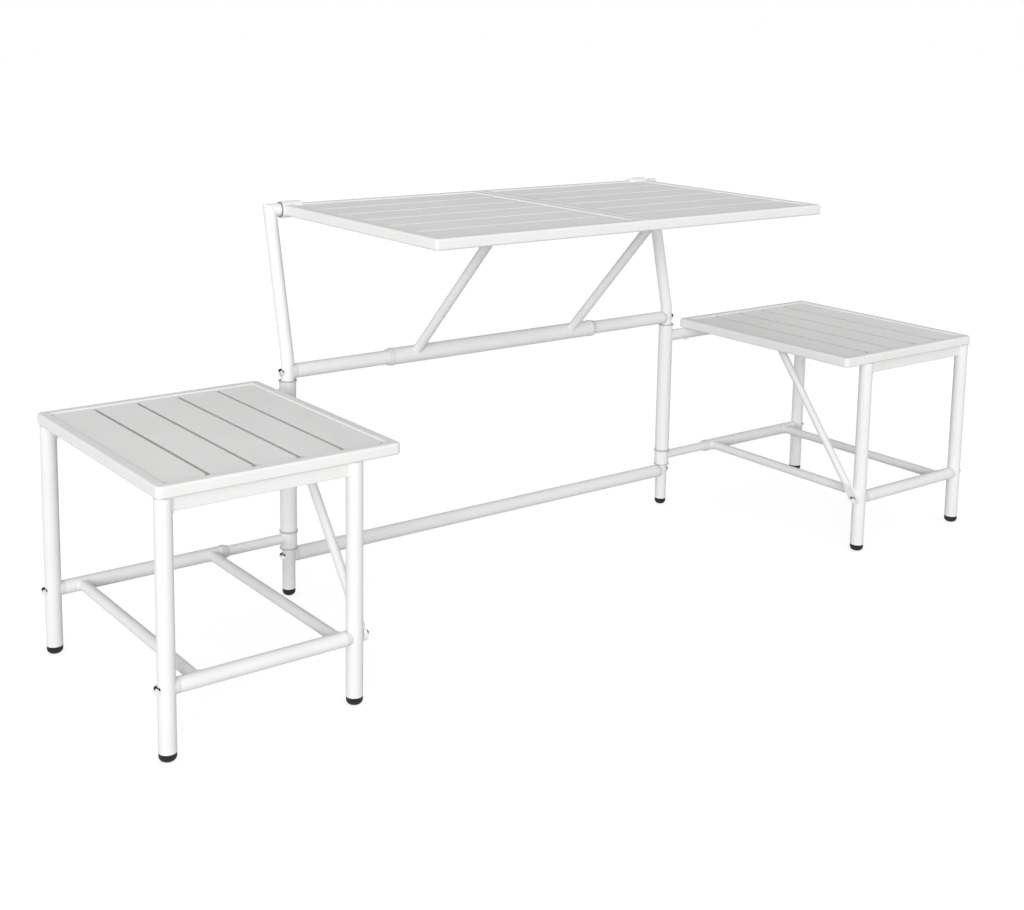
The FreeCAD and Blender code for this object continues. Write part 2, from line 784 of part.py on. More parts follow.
# Strut frame: a sleeve that turns on the middle crossbar and two struts welded to it.
pin_height = f"({catch_ledge} - catch_clearance - catch_pin / 2)"
strut_rise = f"({pin_height} - knee_height)"
strut_angle = f"atan({strut_rise} / strut_reach)"
strut_length = f"(sqrt({strut_rise} ^ 2 + strut_reach ^ 2) + strut_past_pin)"
sleeve_start = "(-strut_sleeve_length / 2)"
node(
    "strut_sleeve",
    tube("strut_sleeve", "strut_sleeve_length", sleeve_start, 0, "knee_height", "x"),
)
strut_bush = bush(
    "crossbar",
    "strut_sleeve",
    "strut_sleeve + 2",
    "bush_depth",
    f"{sleeve_start} - flange_thickness",
    0,
    "knee_height",
    "x",
    "flange_nose",
)
node("strut_sleeve_bushes", both(strut_bush))


def leaning(thing, x):
    """Turns a thing drawn along Z about the crossbar until it points at the catch."""
    place(thing, x, 0, "knee_height")
    thing.Placement.Rotation = FreeCAD.Rotation(FreeCAD.Vector(1, 0, 0), 45)
    bind(thing, "Placement.Rotation.Axis.x", "1")
    bind(thing, "Placement.Rotation.Angle", f"90 deg - {strut_angle}")
    return thing


strut_tube = leaning(tube("strut", strut_length), strut_x)
crossbar_space = rod(
    "strut_sleeve", "strut_sleeve_length", sleeve_start, 0, "knee_height", "x"
)
pin_hole = rod(
    "catch_pin", "2 * strut", f"{strut_x} - strut", catch_y, pin_height, "x"
)
above_pin = block(
    "2 * strut",
    "4 * strut",
    "4 * strut",
    f"{strut_x} - strut",
    f"{catch_y} - 2 * strut",
    f"{pin_height} + strut_cut",
)
node("struts", both(cut(strut_tube, crossbar_space, pin_hole, above_pin)))
catch_pin = rod(
    "catch_pin", "catch_pin_length", f"{strut_x} - catch_pin_length / 2", catch_y, pin_height, "x"
)
node("strut_pins", both(catch_pin))

# Seats: a slatted top on three legs and a lower frame, swinging on a rear leg.
seat_inside = f"-({SEAT_IN} + rail)"
seat_outside = f"-({SEAT_OUT} - rail)"


def seat_rails(wall):
    """The rails of the left seat, or the space inside them when a wall is given."""
    return flat_frame(
        f"-{SEAT_OUT} + {wall}",
        f"-{SEAT_IN} - {wall}",
        f"-{SEAT_FRONT} + {wall}",
        f"seat_overhang - {wall}",
        f"{SEAT_BASE} + {wall}",
        box_corners(
            f"{seat_outside} - {wall}",
            f"{seat_inside} + {wall}",
            f"-{SEAT_FRONT} + rail - {wall}",
            f"seat_overhang - rail + {wall}",
        ),
        f"rail - 2 * {wall}",
        f"seat_corner - {wall}",
        True,
        f"rail_round - {wall}",
    )


def seat_leg(x, y, bar_hole=True):
    """A leg of the seat: a tube from its foot plug up to the rails."""
    leg = tube("seat_leg", f"{SEAT_BASE} - foot_height", x, y, "foot_height")
    if bar_hole:
        leg = cut(leg, bolt_hole(f"{x} - seat_leg", y, "base_height", "2 * seat_leg"))
    return leg


def bar_between(outer, x0, x1, y, z, *legs):
    """A tube along X from x0 to x1, its ends shaped to the legs that it meets."""
    bar = tube(outer, f"{x1} - ({x0})", x0, y, z, "x")
    return cut(bar, *legs)


left_nodes = []


def seat_node(name, thing):
    left_nodes.append((name, node("left_" + name, thing)))


drains = [
    rod("drain_hole", "rail / 2", f"-({SEAT_IN} + {SEAT_OUT}) / 2", y, SEAT_BASE)
    for y in (f"-{SEAT_FRONT} + rail / 2", "seat_overhang - rail / 2")
]
arm_bolt_x = f"-({SEAT_IN} + rail / 2)"
arm_bottom = f"({SEAT_BASE} - upper_arm)"
arm_bolt_hole = rod(
    "arm_bolt + 2 * bolt_hole_gap", "upper_arm + 2 * rail_wall", arm_bolt_x, 0, arm_bottom
)
seat_node(
    "seat_frame",
    cut(seat_rails("0"), seat_rails("rail_wall"), arm_bolt_hole, *drains),
)

seat_room = "(seat_width - 2 * rail)"
seat_pitch = f"(({seat_room} + seat_slat_gap) / seat_slats)"
seat_slat_width = f"({seat_pitch} - seat_slat_gap)"
seat_node(
    "seat_slats",
    group(
        *[
            slat(
                "XZ_Plane",
                seat_slat_width,
                "seat_depth - 2 * rail",
                f"{seat_outside} + {seat_slat_width} / 2 + {n} * {seat_pitch}",
                "seat_overhang - rail",
                "seat_height - slat_recess",
            )
            for n in range(int(sizes.seat_slats))
        ]
    ),
)
strap_top = "(seat_height - slat_recess - slat_depth)"
seat_node(
    "seat_strap",
    block(
        seat_room,
        "strap_width",
        "strap_thickness",
        seat_outside,
        "-support_place - strap_width / 2",
        f"{strap_top} - strap_thickness",
    ),
)
seat_node("outer_back_leg", seat_leg(f"-{OUTER_LEG}", 0))
seat_node("outer_front_leg", seat_leg(f"-{OUTER_LEG}", f"-{FRONT_LEG}"))
seat_node("inner_front_leg", seat_leg(f"-{INNER_LEG}", f"-{FRONT_LEG}"))

apron = prism(
    "YZ_Plane",
    box_corners("-apron_thickness / 2", "apron_thickness / 2", "-apron_height", "0"),
    f"{OUTER_LEG} - {INNER_LEG}",
    f"-{OUTER_LEG}",
    f"-{FRONT_LEG}",
    f"{SEAT_BASE} - apron_drop",
)
fillet(apron, "apron_round", lambda e: e.BoundBox.XLength > 2 * SIZES["apron_height"])
apron_space = prism(
    "YZ_Plane",
    box_corners(
        "-apron_thickness / 2 + rail_wall",
        "apron_thickness / 2 - rail_wall",
        "-apron_height + rail_wall",
        "-rail_wall",
    ),
    f"{OUTER_LEG} - {INNER_LEG}",
    f"-{OUTER_LEG}",
    f"-{FRONT_LEG}",
    f"{SEAT_BASE} - apron_drop",
)
front_spaces = [leg_rod("seat_leg", f"-{x}", f"-{FRONT_LEG}") for x in (OUTER_LEG, INNER_LEG)]
seat_node("apron_rail", cut(apron, apron_space, *front_spaces))

outer_back_space = leg_rod("seat_leg", f"-{OUTER_LEG}", 0)
sleeve_outside = leg_rod("leg_sleeve", f"-{HALF}", 0)
seat_node(
    "upper_arm",
    bar_between(
        "upper_arm",
        f"-{OUTER_LEG}",
        f"-{HALF}",
        0,
        f"{SEAT_BASE} - upper_arm / 2",
        outer_back_space,
        sleeve_outside,
        arm_bolt_hole,
    ),
)
arm_bolt_head = turned(
    [
        ("0", "-2"),
        ("arm_bolt_head / 2", "-2"),
        ("arm_bolt_head / 2", "arm_bolt_dome"),
        ("0", "arm_bolt_dome"),
    ],
    arm_bolt_x,
    0,
    arm_bottom,
    "-z",
    rounding="arm_bolt_dome - 1",
)
arm_space = rod(
    "upper_arm",
    "4 * arm_bolt_head",
    f"{arm_bolt_x} - 2 * arm_bolt_head",
    0,
    f"{SEAT_BASE} - upper_arm / 2",
    "x",
)
arm_bolt_shank = rod(
    "arm_bolt", "1 + upper_arm + rail_wall + arm_bolt_reach", arm_bolt_x, 0, f"{arm_bottom} - 1"
)
arm_bolt = fuse(cut(arm_bolt_head, arm_space), arm_bolt_shank)

# Two sleeves turn on the rear leg. Every sleeve has a flanged bush in each end.
sleeve_base = "(short_sleeve_base + short_sleeve_length + 2 * flange_thickness)"
seat_node(
    "leg_sleeve",
    tube("leg_sleeve", f"sleeve_top - {sleeve_base}", f"-{HALF}", 0, sleeve_base),
)
seat_node(
    "lower_sleeve",
    tube("leg_sleeve", "short_sleeve_length", f"-{HALF}", 0, "short_sleeve_base"),
)


def leg_bush(z, axis, depth):
    return bush("rear_leg", "leg_sleeve", "leg_sleeve + 3", depth, f"-{HALF}", 0, z, axis)


short_top = "short_sleeve_base + short_sleeve_length"
seat_node(
    "sleeve_bushes",
    group(
        leg_bush("short_sleeve_base - flange_thickness", "z", "bush_depth / 2"),
        leg_bush(f"{short_top} + flange_thickness", "-z", "bush_depth / 2"),
        leg_bush(f"{sleeve_base} - flange_thickness", "z", "bush_depth"),
        leg_bush("sleeve_top + flange_thickness", "-z", "bush_depth"),
    ),
)

# Lower frame of the seat: back and front bars on plugs and bolts, two side bars and an arm.
collar_x = f"-({HALF} + collar_place)"
bar_face = "(seat_leg / 2 + plug_flange)"
seat_node(
    "lower_arm",
    bar_between(
        "side_tube", f"{collar_x} - arm_overlap", f"-{HALF}", 0, "base_height", sleeve_outside
    ),
)
seat_node(
    "back_bar",
    bar_between("base_tube", f"-{OUTER_LEG} + {bar_face}", collar_x, 0, "base_height"),
)
seat_node(
    "front_bar",
    bar_between(
        "base_tube",
        f"-{OUTER_LEG} + {bar_face}",
        f"-{INNER_LEG} - {bar_face}",
        f"-{FRONT_LEG}",
        "base_height",
    ),
)
collar = turned(
    [
        ("side_tube / 2", "-plug_depth"),
        ("base_tube / 2 - tube_wall - fit_gap", "-plug_depth"),
        ("base_tube / 2 - tube_wall - fit_gap", "0"),
        ("base_tube / 2 + 1", "0"),
        ("base_tube / 2 + 1", "plug_flange"),
        ("side_tube / 2 + nose_wall", "plug_flange + flange_nose"),
        ("side_tube / 2", "plug_flange + flange_nose"),
    ],
    collar_x,
    0,
    "base_height",
    "x",
)
seat_node(
    "bar_end_plugs",
    group(
        collar,
        end_plug("base_tube", f"-{OUTER_LEG}", "0", "base_height", "x", "seat_leg"),
        end_plug("base_tube", f"-{OUTER_LEG}", f"-{FRONT_LEG}", "base_height", "x", "seat_leg"),
        end_plug("base_tube", f"-{INNER_LEG}", f"-{FRONT_LEG}", "base_height", "-x", "seat_leg"),
    ),
)
seat_node(
    "seat_bolts",
    group(
        bolt(f"-{OUTER_LEG}", "0", "base_height", "x", "seat_leg"),
        bolt(f"-{OUTER_LEG}", f"-{FRONT_LEG}", "base_height", "x", "seat_leg"),
        bolt(f"-{INNER_LEG}", f"-{FRONT_LEG}", "base_height", "-x", "seat_leg", "brace_lug"),
        arm_bolt,
    ),
)


def side_bar(x):
    """A thin bar from the back bar to the front bar, coped at both ends."""
    bar = tube("side_tube", FRONT_LEG, x, 0, "base_height", "-y")
    spaces = [
        rod("base_tube", "4 * side_tube", f"{x} - 2 * side_tube", y, "base_height", "x")
        for y in ("0", f"-{FRONT_LEG}")
    ]
    return cut(bar, *spaces)


seat_node(
    "side_bars",
    group(
        side_bar(f"-({HALF} + inner_bar_place)"),
        side_bar(f"-({OUTER_LEG} - outer_bar_inset)"),
    ),
)

# The brace runs from the front bar's inner bolt up to the strap. Its lower end is flattened.
brace_x = f"(-{INNER_LEG} + seat_leg / 2 + brace_lug / 2)"
brace_run = f"({FRONT_LEG} - support_place)"
brace_rise = f"({strap_top} - strap_thickness - base_height)"
brace_angle = f"atan({brace_run} / {brace_rise})"
brace_reach = f"(sqrt({brace_run} ^ 2 + {brace_rise} ^ 2) + brace_tube)"


def circle_sketch(body, diameter, height, inner=None):
    """One circle, or a ring, at a height in a body of its own."""
    sketch = new_sketch(body, "XY_Plane", "round_outline")
    sketch.setExpression(".AttachmentOffset.Base.z", sized(height))
    for name, text in (("outer", diameter), ("inner", inner)):
        if text is None:
            continue
        circle = Part.Circle(FreeCAD.Vector(), FreeCAD.Vector(0, 0, 1), 8)
        index = sketch.addGeometry(circle)
        sketch.addConstraint(Sketcher.Constraint("Coincident", index, 3, -1, 1))
        bound = sketch.addConstraint(Sketcher.Constraint("Diameter", index, 16))
        sketch.renameConstraint(bound, name)
        bind(sketch, "Constraints." + name, text)
    return sketch


def brace():
    """A tube with one end pressed flat round a bolt hole. It is drawn upright, then leaned."""
    body = new_body("brace")
    flat = new_sketch(body, "YZ_Plane", "lug_outline")
    half = "brace_lug_width / 2"
    press = "brace_lug_length - brace_tube"
    outline(flat, box_corners(f"-{half}", half, "0", press))
    pad(body, flat, "brace_lug", True)
    eye = new_sketch(body, "YZ_Plane", "eye_outline")
    index = eye.addGeometry(Part.Circle(FreeCAD.Vector(), FreeCAD.Vector(0, 0, 1), 11))
    eye.addConstraint(Sketcher.Constraint("Coincident", index, 3, -1, 1))
    bound = eye.addConstraint(Sketcher.Constraint("Diameter", index, 22))
    eye.renameConstraint(bound, "eye")
    bind(eye, "Constraints.eye", "brace_lug_width")
    pad(body, eye, "brace_lug", True)
    start = new_sketch(body, "XY_Plane", "press_outline")
    start.setExpression(".AttachmentOffset.Base.z", sized(press))
    outline(start, box_corners("-brace_lug / 2", "brace_lug / 2", f"-{half}", half))
    loft = body.newObject("PartDesign::AdditiveLoft", "press_loft")
    loft.Profile = start
    loft.Sections = [circle_sketch(body, "brace_tube", "brace_lug_length")]
    body.Tip = loft
    doc.recompute()
    ring = circle_sketch(body, "brace_tube", "brace_lug_length", "brace_tube - 2 * tube_wall")
    pad(body, ring, f"{brace_reach} - brace_lug_length")
    place(body, brace_x, f"-{FRONT_LEG}", "base_height")
    body.Placement.Rotation = FreeCAD.Rotation(FreeCAD.Vector(1, 0, 0), -30)
    bind(body, "Placement.Rotation.Axis.x", "1")
    bind(body, "Placement.Rotation.Angle", f"-{brace_angle}")
    above = block(
        "4 * brace_tube",
        "8 * brace_tube",
        "8 * brace_tube",
        f"{brace_x} - 2 * brace_tube",
        "-support_place - 4 * brace_tube",
        f"{strap_top} - strap_thickness",
    )
    hole = bolt_hole(f"{brace_x} - brace_tube", f"-{FRONT_LEG}", "base_height", "2 * brace_tube")
    return cut(body, above, hole)


seat_node("brace", brace())
seat_node(
    "foot_plugs",
    group(
        foot_plug("seat_leg", f"-{OUTER_LEG}", "0"),
        foot_plug("seat_leg", f"-{OUTER_LEG}", f"-{FRONT_LEG}"),
        foot_plug("seat_leg", f"-{INNER_LEG}", f"-{FRONT_LEG}"),
    ),
)

# The right seat is the mirror image of the left one.
for name, thing in left_nodes:
    node("right_" + name, mirrored(thing))

# Check every sub-part and write it out.
doc.recompute()
os.makedirs("parts", exist_ok=True)
for thing in NODES:
    shape = thing.Shape
    if shape.isNull() or not shape.isValid() or not shape.Solids:
        raise RuntimeError(thing.Label + " has no valid solid")
    if "Invalid" in thing.State or "Error" in thing.State:
        raise RuntimeError(thing.Label + " is in state " + str(thing.State))
    shape.exportStep("parts/" + thing.Label + ".step")
print(len(NODES), "sub-parts written")
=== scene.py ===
import math

import bpy
from mathutils import Matrix, Vector


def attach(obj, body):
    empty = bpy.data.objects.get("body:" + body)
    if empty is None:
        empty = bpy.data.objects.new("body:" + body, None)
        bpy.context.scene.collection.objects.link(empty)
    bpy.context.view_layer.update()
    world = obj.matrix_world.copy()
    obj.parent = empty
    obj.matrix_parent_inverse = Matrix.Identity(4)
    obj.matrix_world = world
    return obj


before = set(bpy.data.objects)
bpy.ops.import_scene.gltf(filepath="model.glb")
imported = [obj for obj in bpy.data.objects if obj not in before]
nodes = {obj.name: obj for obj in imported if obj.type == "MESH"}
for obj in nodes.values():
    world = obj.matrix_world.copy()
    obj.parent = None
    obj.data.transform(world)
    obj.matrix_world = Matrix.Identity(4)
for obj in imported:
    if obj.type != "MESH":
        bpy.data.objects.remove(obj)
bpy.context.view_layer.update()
scene = bpy.context.scene


# Powder-coated steel: every tube, sleeve and rail of the bench, bent and welded before it is
# sprayed with dry paint and baked. That gives the eye an even white skin with a soft sheen and
# the waves of orange peel, 2 mm wide and a fiftieth of a millimetre deep.
def linear(hex_code):
    """An sRGB colour as written on a paint card, as the numbers that the shader wants."""
    parts = [int(hex_code[k : k + 2], 16) / 255 for k in (1, 3, 5)]
    return [c / 12.92 if c <= 0.04045 else ((c + 0.055) / 1.055) ** 2.4 for c in parts] + [1]


def node(tree, kind, links=None, **settings):
    """Adds one shader node. Settings are its properties or sockets, links feed its sockets."""
    made = tree.nodes.new(kind)
    for name, value in settings.items():
        if name in made.bl_rna.properties:
            setattr(made, name, value)
        else:
            made.inputs[name.replace("_", " ")].default_value = value
    for socket, source in (links or {}).items():
        tree.links.new(source, made.inputs[socket])
    return made


def blank_material(name):
    """A new material and its empty node tree."""
    material = bpy.data.materials.new(name)
    material.use_nodes = True
    material.node_tree.nodes.clear()
    return material, material.node_tree


SHEEN_SPREAD = 0.05  # how far the grain makes the sheen rougher and smoother
TONE_EDGES = (0.35, 0.65)  # noise at which the first tone ends, and the second is full
FLAT_FROM = 0.6  # upright part of a sheet's normal, below which the painted gap shade is full
COLOUR_A, COLOUR_B, COLOUR_OUT = 6, 7, 2  # sockets of the Mix node for colours


def finish(name, tones, patch, grain, depth, roughness, metallic=0.0, painted_gap_shade=None):
    """Two near tones in clouds one patch wide, a rougher and a smoother sheen, and a fine grain.

    The patch, the grain and the depth of the grain are sizes in millimetres. A painted gap shade
    is a darker tone painted on the upright sides of sheets, for the shade in the narrow gaps
    between them.
    """
    material, tree = blank_material(name)
    axes = node(tree, "ShaderNodeTexCoord")
    place = axes.outputs["Object"]
    cloud = node(
        tree, "ShaderNodeTexNoise", {"Vector": place}, Scale=1000 / patch, Detail=3.0
    ).outputs["Fac"]
    marks = node(
        tree, "ShaderNodeTexNoise", {"Vector": place}, Scale=1000 / grain, Detail=2.0
    ).outputs["Fac"]
    paint = node(tree, "ShaderNodeValToRGB", {"Fac": cloud})
    for stop, tone, edge in zip(paint.color_ramp.elements, tones, TONE_EDGES):
        stop.color = linear(tone)
        stop.position = edge
    colour = paint.outputs["Color"]
    # Painted shade: sides whose normal is far from upright turn to the darker gap tone, for the
    # shade between slats.
    if painted_gap_shade:
        facing = node(tree, "ShaderNodeSeparateXYZ", {0: axes.outputs["Normal"]})
        level = node(
            tree, "ShaderNodeMath", {0: facing.outputs["Z"]}, operation="ABSOLUTE"
        )
        flat = node(
            tree, "ShaderNodeMapRange", {"Value": level.outputs[0]}, From_Min=FLAT_FROM
        )
        mixed = node(
            tree,
            "ShaderNodeMix",
            {"Factor": flat.outputs["Result"], COLOUR_B: colour},
            data_type="RGBA",
        )
        mixed.inputs[COLOUR_A].default_value = linear(painted_gap_shade)
        colour = mixed.outputs[COLOUR_OUT]
    sheen = node(
        tree,
        "ShaderNodeMapRange",
        {"Value": marks},
        To_Min=roughness - SHEEN_SPREAD,
        To_Max=roughness + SHEEN_SPREAD,
    )
    bump = node(
        tree, "ShaderNodeBump", {"Height": marks}, Strength=1.0, Distance=depth / 1000
    )
    shader = node(
        tree,
        "ShaderNodeBsdfPrincipled",
        {
            "Base Color": colour,
            "Roughness": sheen.outputs["Result"],
            "Normal": bump.outputs["Normal"],
        },
        Metallic=metallic,
    )
    node(tree, "ShaderNodeOutputMaterial", {"Surface": shader.outputs["BSDF"]})
    return material


def wear(material, *endings):
    """Puts a material on the CAD nodes whose names end so."""
    for name, thing in nodes.items():
        if name.endswith(endings):
            for slot in thing.material_slots:
                slot.material = material


coat_tones = ("#eeeeed", "#f1f1f0")
wear(finish("white_powder_coat", coat_tones, 90, 2, 0.02, 0.5), *nodes)

# Slats of the table and the seats: troughs folded from steel sheet, powder-coated apart from the
# frames that they lie in. Flat sheet takes the coat more evenly, so it looks a little brighter
# than tube. Their upright sides in the gaps between slats get a grey painted shade, darker in
# the seats' narrower gaps, for the shade that falls there.
sheet_tones = ("#f2f2f1", "#f5f5f4")
wear(
    finish("white_powder_coat_with_painted_gap_shade_on_tops", sheet_tones, 120, 2, 0.02, 0.55, painted_gap_shade="#e4e4e3"),
    "slats",
)
wear(
    finish("white_powder_coat_with_painted_gap_shade_on_seats", sheet_tones, 120, 2, 0.02, 0.55, painted_gap_shade="#d2d2d0"),
    "seat_slats",
)

# Feet: caps of black rubber, moulded with a domed sole and pushed into the eight tube ends.
# Rubber gives the eye a dull black with a faint grey edge. Its grain is drawn 0.6 mm wide, which
# is coarser than a mould leaves it, so that it still shows close by.
wear(finish("black_rubber", ("#060606", "#0a0a0a"), 20, 0.6, 0.03, 0.6), "foot_plugs")

# Bolts: polished steel with domed heads, screwed into the ends of crossbars and bars from the
# outer sides of the legs, and up through the arms. Polish gives the eye a small mirror, which
# faint buffing marks soften. They are drawn 1 mm wide, coarser than the real ones, to show.
wear(
    finish("polished_steel", ("#e4e5e6", "#ebebec"), 15, 1, 0.002, 0.13, metallic=1.0),
    "crossbar_bolts",
    "seat_bolts",
)

# Bushes between the sleeves and what they turn on: moulded nylon, pushed into the sleeves' ends.
# Their grey on the legs, darker at the hinge, is partly the nylon's own tone and partly painted
# shade, for the thin shadow gaps at the bushes' edges. Nylon gives the eye a smooth, waxy skin.
# Its grain is drawn half a millimetre wide, coarser than the real one, so that it shows close
# by.
nylon_grain = {"patch": 25, "grain": 0.5, "depth": 0.01, "roughness": 0.45}
wear(finish("leg_bush_nylon_with_painted_shade", ("#bcbcba", "#c4c4c2"), **nylon_grain), "bushes")
wear(finish("hinge_bush_nylon_with_painted_shade", ("#8a8a88", "#929290"), **nylon_grain), "hinge_bushes")

# Plugs between the legs and the crossbars and bars, and the bushes of the strut sleeve: moulded
# nylon too, pushed into the tube ends, but white. To the eye it is the same waxy skin, a little
# greyer than the coat beside it.
wear(
    finish("white_nylon", ("#dededc", "#e4e4e2"), **nylon_grain),
    "end_plugs",
    "strut_sleeve_bushes",
)

# Hinge pins, the struts' cross pins and the bolts that join the table's halves: turned steel,
# zinc-plated in a bath, pressed in or screwed up. Zinc gives the eye a grey metal with a cloudy
# shine. Its crystals are drawn 0.3 mm wide, coarser than the real ones, so that they show.
wear(
    finish("zinc_plate", ("#bfc1c2", "#cdcfd0"), 8, 0.3, 0.01, 0.3, metallic=1.0),
    "hinge_pins",
    "strut_pins",
    "joining_bolts",
)

# Weld beads: small fillets of steel laid by hand all round each welded joint, rubbed down and
# coated with the frame. They give the eye a thin soft edge where tubes meet, uneven every 3 mm.
# Each bead is a ring laid on the piece that the tube ends on, then made round.
weld_paint = finish("white_powder_coat_on_welds", coat_tones, 30, 3, 0.12, 0.5)
BEAD_RADIUS = 0.0016  # metres, as all sizes and places here
RING_POINTS = 64  # in a ring round a tube
RAIL_CUTS = 9  # in each side of a ring round a rail


def bead(host, place, towards, outline, beside=None):
    """A ring of weld on the host node, round a tube or a rail that comes from the given place.

    The outline is the ring's radius, or its width and height. A ring that runs over the end of
    its host goes on over the node beside it.
    """
    bpy.ops.object.select_all(action="DESELECT")
    spin = Vector(towards).to_track_quat("Z", "Y").to_euler()
    if isinstance(outline, tuple):
        bpy.ops.mesh.primitive_plane_add(size=1, location=place, rotation=spin)
        bpy.ops.transform.resize(value=(*outline, 1), orient_type="LOCAL")
        bpy.ops.object.mode_set(mode="EDIT")
        bpy.ops.mesh.delete(type="ONLY_FACE")
        bpy.ops.mesh.select_all(action="SELECT")
        bpy.ops.mesh.subdivide(number_cuts=RAIL_CUTS)
        bpy.ops.object.mode_set(mode="OBJECT")
    else:
        bpy.ops.mesh.primitive_circle_add(
            vertices=RING_POINTS, radius=outline, location=place, rotation=spin
        )
    ring = bpy.context.object
    wrap = ring.modifiers.new("laid_on_host", "SHRINKWRAP")
    wrap.target = nodes[host]
    wrap.auxiliary_target = nodes.get(beside)
    wrap.wrap_method = "PROJECT"
    wrap.use_project_z = True
    bpy.ops.object.modifier_apply(modifier="laid_on_host")
    bpy.ops.object.transform_apply()
    bpy.ops.object.convert(target="CURVE")
    ring.data.bevel_depth = BEAD_RADIUS
    ring.data.bevel_resolution = 3
    bpy.ops.object.convert(target="MESH")
    bpy.ops.object.shade_smooth()
    return ring


def welded(name, body, rings):
    """Joins rings into one piece that moves with a body."""
    bpy.ops.object.select_all(action="DESELECT")
    for ring in rings:
        ring.select_set(True)
    bpy.context.view_layer.objects.active = rings[0]
    bpy.ops.object.join()
    piece = bpy.context.object
    piece.name = name
    piece.data.materials.append(weld_paint)
    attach(piece, body)
    return piece


def twin(piece, name, body):
    """The right-hand copy of a left-hand piece, with its own mesh."""
    bpy.ops.object.select_all(action="DESELECT")
    piece.select_set(True)
    bpy.context.view_layer.objects.active = piece
    bpy.ops.object.duplicate()
    copy = bpy.context.object
    copy.name = name
    copy.parent = None
    bpy.ops.transform.resize(value=(-1, 1, 1), center_override=(0, 0, 0))
    bpy.ops.object.transform_apply()
    bpy.ops.object.mode_set(mode="EDIT")
    bpy.ops.mesh.select_all(action="SELECT")
    bpy.ops.mesh.normals_make_consistent(inside=False)
    bpy.ops.object.mode_set(mode="OBJECT")
    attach(copy, body)


# Welds of the seats, in painted steel: two side bars end on the back bar and the front bar, the
# lower and the upper arm on their sleeves, the upper arm also on the outer back leg, and the
# apron on both front legs. A ring starts on its tube's axis, short of the joint.
LEG_LINE = 0.2005  # y of the rear legs, the back bars and the middle crossbar
FRONT_LINE = -0.2675  # y of the front legs, the front bars and the aprons
LOW_HEIGHT = 0.115  # z of the bars and lower arms
ARM_HEIGHT = 0.3975  # z of the upper arms
APRON_HEIGHT = 0.398  # z of the aprons
INNER_BAR, OUTER_BAR = -0.6505, -0.8975  # x of the left seat's side bars
SHORT_OF_BACK_BAR, SHORT_OF_FRONT_BAR = 0.17, -0.24  # y at which rings start
SHORT_OF_SLEEVES, SHORT_OF_INNER_LEG, SHORT_OF_OUTER_LEGS = -0.53, -0.65, -0.92  # x of the same
TO_BACK, TO_FRONT, TO_MIDDLE, TO_OUTSIDE = (0, 1, 0), (0, -1, 0), (1, 0, 0), (-1, 0, 0)
ROUND_THIN_TUBE = 0.0103  # 0.8 mm outside side bars, lower arms and struts of 19 mm tube
ROUND_ARM = 0.0133  # 0.8 mm outside the upper arm of 25 mm tube
ROUND_ARM_AT_LEG = 0.0123  # smaller, because the arm is nearly as wide as the leg there
ROUND_APRON = (0.0132, 0.0232)  # 0.6 mm outside the apron of 12 by 22 mm rail
left_seat_rings = [
    bead(
        "left_back_bar", (INNER_BAR, SHORT_OF_BACK_BAR, LOW_HEIGHT), TO_BACK, ROUND_THIN_TUBE
    ),
    bead(
        "left_back_bar", (OUTER_BAR, SHORT_OF_BACK_BAR, LOW_HEIGHT), TO_BACK, ROUND_THIN_TUBE
    ),
    bead(
        "left_front_bar",
        (INNER_BAR, SHORT_OF_FRONT_BAR, LOW_HEIGHT),
        TO_FRONT,
        ROUND_THIN_TUBE,
        "left_bar_end_plugs",
    ),
    bead(
        "left_front_bar", (OUTER_BAR, SHORT_OF_FRONT_BAR, LOW_HEIGHT), TO_FRONT, ROUND_THIN_TUBE
    ),
    bead(
        "left_lower_sleeve", (SHORT_OF_SLEEVES, LEG_LINE, LOW_HEIGHT), TO_MIDDLE, ROUND_THIN_TUBE
    ),
    bead("left_leg_sleeve", (SHORT_OF_SLEEVES, LEG_LINE, ARM_HEIGHT), TO_MIDDLE, ROUND_ARM),
    bead(
        "left_outer_back_leg",
        (SHORT_OF_OUTER_LEGS, LEG_LINE, ARM_HEIGHT),
        TO_OUTSIDE,
        ROUND_ARM_AT_LEG,
    ),
    bead(
        "left_outer_front_leg",
        (SHORT_OF_OUTER_LEGS, FRONT_LINE, APRON_HEIGHT),
        TO_OUTSIDE,
        ROUND_APRON,
    ),
    bead(
        "left_inner_front_leg",
        (SHORT_OF_INNER_LEG, FRONT_LINE, APRON_HEIGHT),
        TO_MIDDLE,
        ROUND_APRON,
    ),
]
twin(
    welded("left_seat_welds", "left_seat", left_seat_rings),
    "right_seat_welds",
    "right_seat",
)

# Welds of the strut frame, in painted steel: both struts stand on the sleeve that turns on the
# middle crossbar, and slope forwards to the catches under the table.
STRUT_PLACES = (-0.2, 0.2)  # x of the struts
CROSSBAR_HEIGHT = 0.442  # z of the middle crossbar
CATCH_REACH, CATCH_RISE = 0.269, 0.2815  # from the crossbar's axis to the catch pins
SHORT_OF_STRUT_SLEEVE = 0.04  # along a strut, from the crossbar's axis
strut_line = Vector((0, -CATCH_REACH, CATCH_RISE)).normalized()
strut_rings = [
    bead(
        "strut_sleeve",
        Vector((x, LEG_LINE, CROSSBAR_HEIGHT)) + strut_line * SHORT_OF_STRUT_SLEEVE,
        -strut_line,
        ROUND_THIN_TUBE,
    )
    for x in STRUT_PLACES
]
welded("strut_welds", "strut_frame", strut_rings)

